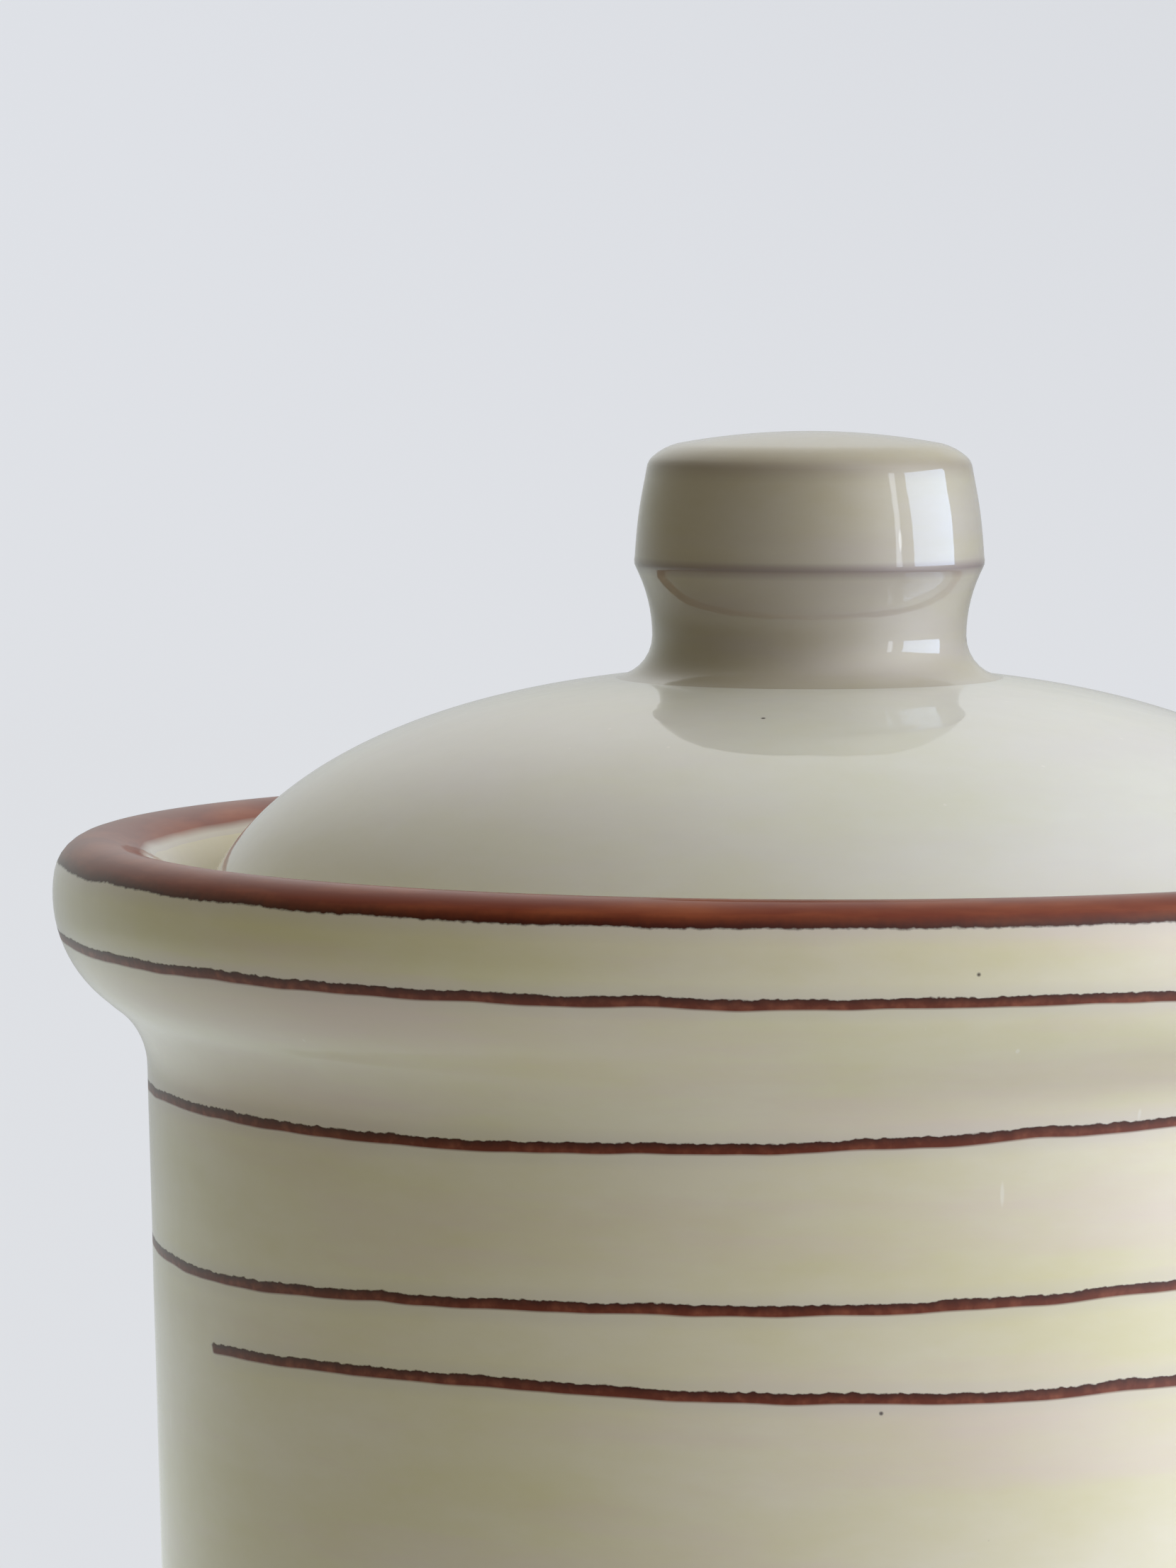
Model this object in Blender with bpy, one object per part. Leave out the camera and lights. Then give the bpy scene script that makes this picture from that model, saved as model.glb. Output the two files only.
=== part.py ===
"""Stoneware food canister: a turned jar with a rolled collar, and a domed lid with a separately made knob.

Every piece is a shape turned about the Z axis. The origin is on that axis, at the table under the foot ring.
Outlines are lists of (radius, height) in millimetres; turn() makes them metres.
"""

import math

import bmesh
import bpy

MM = 0.001

# Jar: heights are above the table.
JAR_HEIGHT = 150.0
BODY_RADIUS = 57.0
BODY_DRAFT = 0.023  # the wall leans in by this share of the drop below the neck
WALL = 5.5
FLOOR_HEIGHT = 8.5
FLOOR_CORNER = 10.0
FOOT_RECESS = 2.5
FOOT_OUTER_RADIUS = 48.5
FOOT_INNER_RADIUS = 44.0
FOOT_EDGE = 0.6
HEEL_ROUND = 6.0

# Collar: depths are below the crest of the rim.
NECK_ROUND = 7.0
NECK_CENTRE = (64.0, 19.85)
BEAD_ROUND = 11.0
BEAD_CENTRE = (54.1, 4.8)
CREST_RADIUS = 61.5
CREST_OUTER_ROUND = 3.5
CREST_INNER_ROUND = 7.0
CREST_MEETS_BEAD = 10.0  # degrees above level

# Gallery: the ledge inside the collar that carries the lid.
GALLERY_RADIUS = CREST_RADIUS - CREST_INNER_ROUND
GALLERY_DEPTH = 9.5
GALLERY_ROUND = 1.2
THROAT_RADIUS = 48.5
THROAT_DEPTH = 13.5
FLARE_DEPTH = 24.0

# Lid: the dome is DOME_RISE * sqrt(1 - (r / LID_RADIUS) ** DOME_POWER) above its base circle.
GAP = 0.3
LID_RADIUS = 53.3
LID_EDGE_ROUND = 1.0
DOME_POWER = 2.4
DOME_RISE = 25.2
DOME_DEPTH = 11.0
HOLLOW_RADIUS = 50.0
HOLLOW_RISE = 22.0
HOLLOW_DEPTH = 12.6
FLANGE_OUTER_RADIUS = 46.5
FLANGE_INNER_RADIUS = 42.5
FLANGE_LENGTH = 6.0
FLANGE_ROUND = 1.4
VENT_RADIUS = 8.5

# Knob: heights are above the crest of the rim.
KNOB_FOOT_RADIUS = 16.6
KNOB_FOOT_HEIGHT = 13.1
KNOB_SKIRT_ROUND = 3.6
KNOB_NECK_RADIUS = 13.5
KNOB_NECK_HEIGHT = 17.0
KNOB_CREASE_RADIUS = 15.0
KNOB_CREASE_HEIGHT = 23.0
KNOB_CREASE_BAND = 0.7
KNOB_SHOULDER_RADIUS = 14.0
KNOB_SHOULDER_HEIGHT = 31.2
KNOB_SHOULDER_ROUND = 1.5
KNOB_BEVEL_ROUND = 5.0
KNOB_BEVEL_TURN = 48.0  # degrees above level where the shoulder's round gives way to the wider one
KNOB_TOP_HEIGHT = 34.9
KNOB_HOLLOW_HEIGHT = 29.0
KNOB_HOLLOW_ROUND = 3.0

GLAZE_ROUGHNESS = 0.12

JAR_SEGMENTS = 48
LID_SEGMENTS = 48
KNOB_SEGMENTS = 36


def arc(centre, radius, start, end, steps):
    """Points round a centre between two angles in degrees; 0 points away from the axis and 90 up."""
    points = []
    for step in range(steps + 1):
        angle = math.radians(start + (end - start) * step / steps)
        points.append((centre[0] + radius * math.cos(angle), centre[1] + radius * math.sin(angle)))
    return points


def ease(start, end, steps):
    """Points on an S-curve that leaves the start and reaches the end running straight up or down."""
    points = []
    for step in range(steps + 1):
        share = step / steps
        across = share * share * (3 - 2 * share)
        points.append(
            (start[0] + (end[0] - start[0]) * across, start[1] + (end[1] - start[1]) * share)
        )
    return points


def dome(radius, rise, base, start, end, steps):
    """Points over a dome from one radius out to another, closer together towards its steep edge."""
    points = []
    for step in range(steps + 1):
        r = start + (end - start) * math.sin(math.pi / 2 * step / steps)
        points.append((r, base + rise * math.sqrt(1 - (r / radius) ** DOME_POWER)))
    return points


def down(centre):
    """Turns (radius, depth below the crest) into (radius, height above the table)."""
    return (centre[0], JAR_HEIGHT - centre[1])


def body_radius(height):
    """Outer radius of the leaning wall at a height above the table."""
    return BODY_RADIUS - BODY_DRAFT * (JAR_HEIGHT - NECK_CENTRE[1] - height)


def foot():
    """From the middle of the recess out over the flat foot ring."""
    return [
        (0.0, FOOT_RECESS),
        (FOOT_INNER_RADIUS - FOOT_RECESS, FOOT_RECESS),
        (FOOT_INNER_RADIUS, FOOT_EDGE),
        (FOOT_INNER_RADIUS + FOOT_EDGE, 0.0),
        (FOOT_OUTER_RADIUS - FOOT_EDGE, 0.0),
        (FOOT_OUTER_RADIUS, FOOT_EDGE),
    ]


def jar_outside():
    """From the heel up the wall, round the neck and over the bead to the crest."""
    heel = FOOT_RECESS + HEEL_ROUND
    points = arc((body_radius(heel) - HEEL_ROUND, heel), HEEL_ROUND, -80, 0, 4)
    points.append((body_radius(JAR_HEIGHT / 2), JAR_HEIGHT / 2))
    across = NECK_CENTRE[0] - BEAD_CENTRE[0]
    along = NECK_CENTRE[1] - BEAD_CENTRE[1]
    lean = math.degrees(math.atan2(along, across))
    points += arc(down(NECK_CENTRE), NECK_ROUND, 180, 180 - lean, 4)
    points += arc(down(BEAD_CENTRE), BEAD_ROUND, -lean, CREST_MEETS_BEAD, 6)[1:]
    crest = (CREST_RADIUS, JAR_HEIGHT - CREST_OUTER_ROUND)
    points += arc(crest, CREST_OUTER_ROUND, CREST_MEETS_BEAD, 90, 4)[1:]
    return points


def jar_inside():
    """From the crest down to the gallery, over its lip, through the throat and down to the floor."""
    crest = (CREST_RADIUS, JAR_HEIGHT - CREST_INNER_ROUND)
    points = arc(crest, CREST_INNER_ROUND, 90, 180, 5)[1:]
    ledge = JAR_HEIGHT - GALLERY_DEPTH
    corner = (GALLERY_RADIUS - GALLERY_ROUND, ledge + GALLERY_ROUND)
    points += arc(corner, GALLERY_ROUND, 0, -90, 2)
    lip = (THROAT_RADIUS + GALLERY_ROUND, ledge - GALLERY_ROUND)
    points += arc(lip, GALLERY_ROUND, 90, 180, 2)
    flare = JAR_HEIGHT - FLARE_DEPTH
    points += ease(down((THROAT_RADIUS, THROAT_DEPTH)), (body_radius(flare) - WALL, flare), 4)
    floor = FLOOR_HEIGHT + FLOOR_CORNER
    corner = (body_radius(floor) - WALL - FLOOR_CORNER, floor)
    points += arc(corner, FLOOR_CORNER, 0, -90, 4)
    points.append((0.0, FLOOR_HEIGHT))
    return points


def lid_outline():
    """From the vent over the knob's seat and the dome, under the rim and the flange, and up the hollow."""
    seat = JAR_HEIGHT - GALLERY_DEPTH + GAP
    land = JAR_HEIGHT + KNOB_FOOT_HEIGHT - GAP
    land_radius = KNOB_FOOT_RADIUS + GAP
    points = [(VENT_RADIUS, land), (land_radius, land)]

    base = JAR_HEIGHT - DOME_DEPTH
    edge = (LID_RADIUS - LID_EDGE_ROUND, seat + LID_EDGE_ROUND)
    rise = (edge[1] - base) / DOME_RISE
    rim = LID_RADIUS * (1 - rise**2) ** (1 / DOME_POWER)
    points += dome(LID_RADIUS, DOME_RISE, base, land_radius, rim, 12)
    points += arc(edge, LID_EDGE_ROUND, -20, -90, 2)

    tip = seat - FLANGE_LENGTH + FLANGE_ROUND
    points += [(FLANGE_OUTER_RADIUS + 1.0, seat), (FLANGE_OUTER_RADIUS, seat - 1.0)]
    points += arc((FLANGE_OUTER_RADIUS - FLANGE_ROUND, tip), FLANGE_ROUND, 0, -90, 2)
    points += arc((FLANGE_INNER_RADIUS + FLANGE_ROUND, tip), FLANGE_ROUND, -90, -180, 2)

    hollow = JAR_HEIGHT - HOLLOW_DEPTH
    points += reversed(
        dome(HOLLOW_RADIUS, HOLLOW_RISE, hollow, VENT_RADIUS, FLANGE_INNER_RADIUS, 7)
    )
    return points


def knob_neck():
    """From the knob's foot on the dome up the waisted neck to the crease."""
    skirt = (KNOB_NECK_RADIUS + KNOB_SKIRT_ROUND, KNOB_NECK_HEIGHT)
    points = arc(skirt, KNOB_SKIRT_ROUND, 260, 180, 4)
    across = KNOB_CREASE_RADIUS - KNOB_NECK_RADIUS
    along = KNOB_CREASE_HEIGHT - KNOB_NECK_HEIGHT
    flare = (across**2 + along**2) / (2 * across)
    sweep = math.degrees(math.asin(along / flare))
    points += arc((KNOB_NECK_RADIUS + flare, KNOB_NECK_HEIGHT), flare, 180, 180 - sweep, 4)[1:]
    points.append((KNOB_CREASE_RADIUS, KNOB_CREASE_HEIGHT + KNOB_CREASE_BAND))
    return points


def knob_head():
    """From the shoulder over three rounds, each wider than the last, to the middle of the crown."""
    shoulder = (KNOB_SHOULDER_RADIUS - KNOB_SHOULDER_ROUND, KNOB_SHOULDER_HEIGHT)
    points = arc(shoulder, KNOB_SHOULDER_ROUND, 0, KNOB_BEVEL_TURN, 2)
    turn_angle = math.radians(KNOB_BEVEL_TURN)
    bevel = (
        points[-1][0] - KNOB_BEVEL_ROUND * math.cos(turn_angle),
        points[-1][1] - KNOB_BEVEL_ROUND * math.sin(turn_angle),
    )
    points += arc(bevel, KNOB_BEVEL_ROUND, KNOB_BEVEL_TURN, 76, 2)[1:]
    edge, rise = points[-1][0], KNOB_TOP_HEIGHT - points[-1][1]
    crown = (edge**2 + rise**2) / (2 * rise)
    sweep = math.degrees(math.asin(edge / crown))
    points += arc((0.0, KNOB_TOP_HEIGHT - crown), crown, 90 - sweep, 90, 3)[1:-1]
    points.append((0.0, KNOB_TOP_HEIGHT))
    return points


def knob_outline():
    """From the vent under the foot, up the outside and over the head, then down the hollow."""
    points = [(VENT_RADIUS, KNOB_FOOT_HEIGHT), (KNOB_FOOT_RADIUS, KNOB_FOOT_HEIGHT)]
    points += knob_neck() + knob_head()
    points.append((0.0, KNOB_HOLLOW_HEIGHT))
    corner = (VENT_RADIUS - KNOB_HOLLOW_ROUND, KNOB_HOLLOW_HEIGHT - KNOB_HOLLOW_ROUND)
    points += arc(corner, KNOB_HOLLOW_ROUND, 90, 0, 3)
    return [(r, JAR_HEIGHT + height) for r, height in points]


def glaze(name, colour):
    """A glossy cream glaze on fired stoneware."""
    material = bpy.data.materials.new(name)
    material.use_nodes = True
    shader = material.node_tree.nodes["Principled BSDF"]
    shader.inputs["Base Color"].default_value = (*colour, 1.0)
    shader.inputs["Roughness"].default_value = GLAZE_ROUGHNESS
    shader.inputs["Metallic"].default_value = 0.0
    return material


def turn(name, outline, segments, material):
    """Turns an outline about the Z axis into one solid object."""
    bm = bmesh.new()
    ring = [bm.verts.new((r * MM, 0.0, height * MM)) for r, height in outline]
    for first, second in zip(ring, ring[1:] + ring[:1]):
        if first.co.x > 0.0 or second.co.x > 0.0:
            bm.edges.new((first, second))
    bmesh.ops.spin(
        bm,
        geom=bm.verts[:] + bm.edges[:],
        axis=(0, 0, 1),
        angle=2 * math.pi,
        steps=segments,
    )
    bmesh.ops.remove_doubles(bm, verts=bm.verts, dist=0.01 * MM)
    bmesh.ops.recalc_face_normals(bm, faces=bm.faces)
    mesh = bpy.data.meshes.new(name)
    bm.to_mesh(mesh)
    bm.free()
    mesh.shade_smooth()
    mesh.set_sharp_from_angle(angle=math.radians(40))
    mesh.materials.append(material)
    piece = bpy.data.objects.new(name, mesh)
    bpy.context.scene.collection.objects.link(piece)
    return piece


def main():
    for old in list(bpy.data.objects):
        bpy.data.objects.remove(old)
    jar_outline = foot() + jar_outside() + jar_inside()
    turn("jar", jar_outline, JAR_SEGMENTS, glaze("jar_glaze", (0.62, 0.60, 0.51)))
    lid = turn("lid", lid_outline(), LID_SEGMENTS, glaze("lid_glaze", (0.63, 0.61, 0.53)))
    knob = turn("knob", knob_outline(), KNOB_SEGMENTS, glaze("knob_glaze", (0.60, 0.58, 0.49)))
    knob.parent = lid


main()
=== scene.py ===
# %% [markdown]
# # A hand-banded stoneware canister
#
# The real thing is a kitchen canister that a potter threw on a wheel: a straight jar with a heavy rolled
# collar, and a domed lid that drops inside the collar. Both were dipped in a milky cream glaze. Before that,
# the rim was coated with iron oxide, and thin lines were laid on with a fine brush while the wheel turned.
#
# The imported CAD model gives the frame: which bodies there are, how the lid lifts, and the outside box that
# everything here has to stay in. This lesson makes the fine surfaces and the finishes on top of that frame.

# %% Load the frame
import math

import bpy
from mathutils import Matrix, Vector


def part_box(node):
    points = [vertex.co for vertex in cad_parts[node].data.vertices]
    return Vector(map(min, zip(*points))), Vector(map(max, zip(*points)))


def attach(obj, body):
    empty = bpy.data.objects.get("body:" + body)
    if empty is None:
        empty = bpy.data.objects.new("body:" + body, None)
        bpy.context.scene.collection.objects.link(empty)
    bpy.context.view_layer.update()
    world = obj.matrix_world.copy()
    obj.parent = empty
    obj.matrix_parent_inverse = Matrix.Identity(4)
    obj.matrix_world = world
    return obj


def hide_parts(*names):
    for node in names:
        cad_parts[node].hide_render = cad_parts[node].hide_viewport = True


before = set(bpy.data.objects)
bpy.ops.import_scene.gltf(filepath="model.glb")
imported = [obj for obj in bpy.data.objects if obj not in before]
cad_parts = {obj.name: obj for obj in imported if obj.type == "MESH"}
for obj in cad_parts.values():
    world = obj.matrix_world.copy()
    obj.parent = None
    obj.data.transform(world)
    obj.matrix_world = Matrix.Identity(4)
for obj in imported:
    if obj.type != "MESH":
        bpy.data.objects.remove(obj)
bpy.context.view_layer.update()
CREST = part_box("jar")[1].z * 1000

# %% [markdown]
# ## Two small helpers
#
# Node trees are built in the script, so that every number can be read and changed. One function adds a node,
# sets its properties and joins up its inputs. Another turns the hex colours that people pick from a screen
# into the linear values that a renderer works with.


# %% Helpers for nodes and colours
def add(tree, kind, inputs=None, **settings):
    """Adds a node. inputs maps a socket's name or number to a value, or to another node's output."""
    node = tree.nodes.new(kind)
    for name, value in settings.items():
        setattr(node, name, value)
    for key, value in (inputs or {}).items():
        if isinstance(value, bpy.types.NodeSocket):
            tree.links.new(value, node.inputs[key])
        else:
            node.inputs[key].default_value = value
    return node


def linear(hex_colour):
    """Turns an sRGB colour such as "#d9d3c3" into the four linear values of a colour socket."""
    channels = [int(hex_colour[i : i + 2], 16) / 255 for i in (1, 3, 5)]
    return [c / 12.92 if c <= 0.04045 else ((c + 0.055) / 1.055) ** 2.4 for c in channels] + [1.0]


print("#808080 in linear light:", [round(c, 3) for c in linear("#808080")])

# %% [markdown]
# ## The outlines
#
# A pot is one outline turned round an axis, so the outline is where its shape is decided. Each outline is a
# list of points (radius, height) in millimetres, joined from arcs and straight runs, with a point about every
# millimetre so that the turned surface catches light smoothly. Outlines run anticlockwise, up the outside.


# %% Drawing tools for outlines
STEP = 0.8


def arc(centre, radius, start, end):
    """Points round a centre between two angles in degrees; 0 points away from the axis and 90 up."""
    steps = max(3, math.ceil(abs(math.radians(end - start)) * radius / STEP))
    angles = [math.radians(start + (end - start) * i / steps) for i in range(steps + 1)]
    return [(centre[0] + radius * math.cos(a), centre[1] + radius * math.sin(a)) for a in angles]


def run(start, end, step=2.0):
    """Points along a straight stretch, the two ends left out."""
    steps = max(1, math.ceil(math.dist(start, end) / step))
    return [
        (start[0] + (end[0] - start[0]) * i / steps, start[1] + (end[1] - start[1]) * i / steps)
        for i in range(1, steps)
    ]


def ease(start, end, steps=14):
    """Points on an S-curve that leaves the start and reaches the end running straight up or down."""
    shares = [i / steps for i in range(steps + 1)]
    return [
        (start[0] + (end[0] - start[0]) * s * s * (3 - 2 * s), start[1] + (end[1] - start[1]) * s)
        for s in shares
    ]


# %% [markdown]
# ## The jar's outline
#
# The wall leans in a little towards the foot. Above it the neck turns out into a thick bead, and the crest of
# the rim rolls over and down to a ledge inside, the gallery, that carries the lid.

# %% The jar's outline
NECK = (64.0, CREST - 19.85)
BEAD = (54.1, CREST - 4.8)
LEDGE = CREST - 9.5
LEAN = math.degrees(math.atan2(BEAD[1] - NECK[1], NECK[0] - BEAD[0]))
CLAY_THICKNESS = 5.5
FLOOR = 8.5  # height of the floor inside
FLOOR_CORNER = 10.0  # radius of the corner between the floor and the wall


def wall(height):
    """Outer radius of the straight part of the jar at a height above the table."""
    return 56.95 - 0.023 * (NECK[1] - height)


def jar_outside():
    """From under the foot ring up the wall, round the neck and over the bead to the crest."""
    heel = 8.5
    points = [(0.0, 2.5), *run((0.0, 2.5), (41.5, 2.5), 4.0), (41.5, 2.5), (44.0, 0.6), (44.6, 0.05)]
    points += [(46.3, 0.0), (47.9, 0.05), (48.5, 0.6)]
    points += arc((wall(heel) - 6.0, heel), 6.0, -80, 0)
    points += run((wall(heel), heel), (wall(NECK[1]), NECK[1]), 1.6)
    points += arc(NECK, 7.05, 180, 180 - LEAN)
    points += arc(BEAD, 10.9, -LEAN, 10)[1:]
    points += arc((61.4, CREST - 3.5), 3.48, 10, 90)[1:]
    return points


def jar_inside():
    """From the crest over the gallery, down the inside of the wall and across the floor."""
    points = arc((61.4, CREST - 7.0), 7.0, 90, 180)[1:]
    points += arc((53.2, LEDGE + 1.2), 1.2, 0, -90) + arc((49.7, LEDGE - 1.2), 1.2, 90, 180)
    top, bottom = CREST - 24.0, FLOOR + FLOOR_CORNER
    throat, foot = (wall(top) - CLAY_THICKNESS, top), (wall(bottom) - CLAY_THICKNESS, bottom)
    points += ease((48.5, CREST - 13.5), throat)
    points += run(throat, foot, 2.5)
    flat = foot[0] - FLOOR_CORNER
    points += arc((flat, bottom), FLOOR_CORNER, 0, -90)
    points += run((flat, FLOOR), (0.0, FLOOR), 4.0) + [(0.0, FLOOR)]
    return points


jar_outline = jar_outside() + jar_inside()
print("jar outline:", len(jar_outline), "points")

# %% [markdown]
# ## The lid's and the knob's outlines
#
# The dome is flat in the middle and turns down fast at its edge, which one formula with a power a little above
# 2 gives. The knob was thrown apart and stuck on with slip, so it is its own piece. It starts on the dome at
# exactly the point where the lid's outline stops, and the glaze hides the joint.

# %% The lid's outline
DOME_RADIUS, DOME_RISE, DOME_BASE, DOME_POWER = 53.3, 25.2, CREST - 11.0, 2.4
DOME_EDGE, DOME_STEPS = 53.05, 70  # where the dome gives way to the rounded edge
KNOB_FOOT = 16.69
KNOB_SEAT = CREST + 12.8
VENT = 8.5


def dome(start, end, steps, radius=DOME_RADIUS, rise=DOME_RISE, base=DOME_BASE):
    """Points over a dome from one radius out to another, closer together towards its steep edge."""
    radii = [start + (end - start) * math.sin(math.pi / 2 * i / steps) for i in range(steps + 1)]
    return [(r, base + rise * math.sqrt(1 - (r / radius) ** DOME_POWER)) for r in radii]


def lid_loop():
    """Over the dome, round the edge, under the flange, up the hollow and back over the knob's seat."""
    seat = LEDGE + 0.3
    top = dome(KNOB_FOOT, DOME_EDGE, DOME_STEPS)
    edge = arc((52.25, seat + 1.0), 1.0, -20, -90)
    flange = [(47.5, seat), (46.5, seat - 1.0)]
    flange += arc((45.1, seat - 4.6), 1.4, 0, -90) + arc((43.9, seat - 4.6), 1.4, -90, -180)
    hollow = dome(VENT, 42.5, 30, radius=50.0, rise=22.0, base=CREST - 12.6)
    seat_of_knob = [(VENT, KNOB_SEAT), (KNOB_FOOT - 0.02, KNOB_SEAT)]
    points = top + edge + flange + hollow[::-1] + seat_of_knob + [top[0]]
    return points[::-1]


lid_outline = lid_loop()
print("lid outline:", len(lid_outline), "points")


# %% The knob's outline
def knob_outside():
    """From the dome up the waisted neck, over the crease and the barrel-shaped head to the middle of the top."""
    neck, crease, shoulder, top = CREST + 17.0, CREST + 23.0, CREST + 31.2, CREST + 34.5
    neck_radius, head_radius, shoulder_radius = 13.5, 15.0, 14.0
    foot = dome(KNOB_FOOT, DOME_EDGE, DOME_STEPS)[0]
    points = [foot] + arc((neck_radius + 3.6, neck), 3.6, 262.5, 180)[1:]
    out, up = head_radius - neck_radius, crease - neck
    flare = (out**2 + up**2) / (2 * out)
    sweep = math.degrees(math.asin(up / flare))
    points += arc((neck_radius + flare, neck), flare, 180, 180 - sweep)[1:-1]
    points += [(14.93, crease - 0.1), (15.03, crease + 0.15), (15.05, crease + 0.5)]
    band, swell = crease + 0.9, 0.16
    points += [(head_radius, band)]
    points += [
        (r + swell * math.sin(math.pi * (z - band) / (shoulder - band)), z)
        for r, z in run((head_radius, band), (shoulder_radius, shoulder), 0.8)
    ]
    points += arc((shoulder_radius - 1.5, shoulder), 1.5, 4, 48)
    bevel, corner = 5.0, points[-1]
    slope = math.radians(48)
    middle = (corner[0] - bevel * math.cos(slope), corner[1] - bevel * math.sin(slope))
    points += arc(middle, bevel, 48, 76)[1:]
    edge, rise = points[-1][0], top - points[-1][1]
    crown = (edge**2 + rise**2) / (2 * rise)
    sweep = math.degrees(math.asin(edge / crown))
    points += arc((0.0, top - crown), crown, 90 - sweep, 90)[1:-1]
    return points + [(0.0, top)]


ceiling, inner_corner, underside = CREST + 29.0, 3.0, CREST + 13.1
knob_inside = [(0.0, ceiling), (inner_corner, ceiling)]
knob_inside += arc((VENT - inner_corner, ceiling - inner_corner), inner_corner, 90, 0)
knob_inside += run((VENT, ceiling - inner_corner), (VENT, underside))
knob_inside += [(VENT, underside), (KNOB_FOOT - 0.1, underside)]
knob_outline = knob_inside + knob_outside()
print("knob outline:", len(knob_outline), "points")

# %% [markdown]
# ## The path of the brush
#
# The thin lines were painted with the jar turning on the wheel. The one on the collar is a ring. The others
# are one long stroke: the brush touches down low on the wall, stays level for a while, and then climbs as the
# jar goes round, so that one side shows it three times. A path in space is enough to describe that. Height is
# given against the angle the jar has turned, and the radius comes from the jar's own outline.


# %% The path of the brush
def outer_radius(height):
    """Radius of the jar's outside at a height, read from its outline."""
    outside = [p for p in jar_outside() if p[0] > 50]
    for low, high in zip(outside, outside[1:]):
        if low[1] <= height <= high[1]:
            share = (height - low[1]) / max(high[1] - low[1], 1e-6)
            return low[0] + (high[0] - low[0]) * share
    return outside[-1][0]


STROKE = [  # degrees turned since the brush touched down, and depth below the crest
    (0, 40.7), (10, 40.25), (20, 39.9), (38, 39.6), (55, 39.8), (71, 39.85), (82, 39.75), (92, 39.5),
    (150, 39.1), (240, 37.6), (330, 34.6), (345, 34.5), (360, 34.6), (384, 33.65), (408, 33.0), (424, 32.7),
    (435, 32.45), (451, 31.8), (510, 30.3), (600, 26.2), (690, 21.4), (718, 20.85), (743, 20.75), (767, 20.3),
    (783, 19.8), (794, 19.3), (811, 18.7), (870, 17.2), (930, 16.8),
]  # fmt: skip
TOUCH_DOWN = -150.0  # degrees from +X, so 60 degrees to the left of the front


def stroke_depth(turned):
    """Depth of the long stroke below the crest, smoothed between its known points."""
    last = len(STROKE) - 2
    i = min(last, max(0, sum(turned >= a for a, _ in STROKE) - 1))
    before, here = STROKE[max(0, i - 1)], STROKE[i]
    there, after = STROKE[i + 1], STROKE[min(last + 1, i + 2)]
    s = (turned - here[0]) / (there[0] - here[0])
    span = there[0] - here[0]
    slope_in = (there[1] - before[1]) / (there[0] - before[0]) * span
    slope_out = (after[1] - here[1]) / (after[0] - here[0]) * span
    return (
        (2 * s**3 - 3 * s**2 + 1) * here[1]
        + (s**3 - 2 * s**2 + s) * slope_in
        + (3 * s**2 - 2 * s**3) * there[1]
        + (s**3 - s**2) * slope_out
    )


def path_points(depths):
    """Points in metres for (angle in degrees, depth below the crest in millimetres)."""
    points = []
    for degrees, depth in depths:
        a, height = math.radians(degrees), CREST - depth
        r = outer_radius(height)
        points.append((r * math.cos(a) / 1000, r * math.sin(a) / 1000, height / 1000))
    return points


ring = path_points((d, 7.9 + 0.12 * math.sin(math.radians(2 * d + 40))) for d in range(0, 361, 2))
stroke = path_points((TOUCH_DOWN + d, stroke_depth(d)) for d in range(0, 931, 2))
brush_mesh = bpy.data.meshes.new("brush_path")
edges = [(i, i + 1) for i in range(len(ring) - 1)]
edges += [(len(ring) + i, len(ring) + i + 1) for i in range(len(stroke) - 1)]
brush_mesh.from_pydata(ring + stroke, edges, [])
brush_path = bpy.data.objects.new("brush_path", brush_mesh)
bpy.context.scene.collection.objects.link(brush_path)
print("brush path:", len(edges), "short steps")

# %% [markdown]
# ## The wheel
#
# Turning an outline follows a rule, so Geometry Nodes do it. The tree lays out a flat grid with one column of
# points for each step round and one row for each outline point. It looks up each row's place on the outline
# and turns it to its column's angle. A slow noise then moves the wall in and out by about a tenth of a
# millimetre, as hands do, so that reflections bend as they do on a thrown pot.
#
# The tree also stores what the finishes need to know at each point: how far along the outline it is, where the
# clay is bare, where the glaze runs thin, and how far it is above the nearest brush stroke and away from it.

# %% Build the wheel
STEPS_ROUND = 240
WANDER, WANDER_SIZE = 0.00012, 0.03  # metres
SEED = 3.0
wheel = bpy.data.node_groups.new("potters_wheel", "GeometryNodeTree")
wheel.interface.new_socket("Geometry", in_out="INPUT", socket_type="NodeSocketGeometry")
for socket_name, socket_kind, start_value in (
    ("Steps Round", "NodeSocketInt", STEPS_ROUND),
    ("Wander", "NodeSocketFloat", WANDER),
    ("Wander Size", "NodeSocketFloat", WANDER_SIZE),
    ("Seed", "NodeSocketFloat", SEED),
    ("Brush Path", "NodeSocketObject", None),
    ("Finish", "NodeSocketMaterial", None),
):
    socket = wheel.interface.new_socket(socket_name, in_out="INPUT", socket_type=socket_kind)
    if start_value is not None:
        socket.default_value = start_value
wheel.interface.new_socket("Geometry", in_out="OUTPUT", socket_type="NodeSocketGeometry")

given = add(wheel, "NodeGroupInput")
outline = given.outputs["Geometry"]
steps_round = given.outputs["Steps Round"]
rows = add(wheel, "GeometryNodeAttributeDomainSize", {0: outline}).outputs["Point Count"]
columns = add(wheel, "FunctionNodeIntegerMath", {0: steps_round, 1: 1}, operation="ADD")
grid = add(wheel, "GeometryNodeMeshGrid", {"Vertices X": columns.outputs[0], "Vertices Y": rows})
index = add(wheel, "GeometryNodeInputIndex").outputs[0]
row = add(wheel, "FunctionNodeIntegerMath", {0: index, 1: rows}, operation="MODULO").outputs[0]
column = add(wheel, "FunctionNodeIntegerMath", {0: index, 1: rows}, operation="DIVIDE_FLOOR").outputs[0]
share = add(wheel, "ShaderNodeMath", {0: column, 1: steps_round}, operation="DIVIDE").outputs[0]
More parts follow.
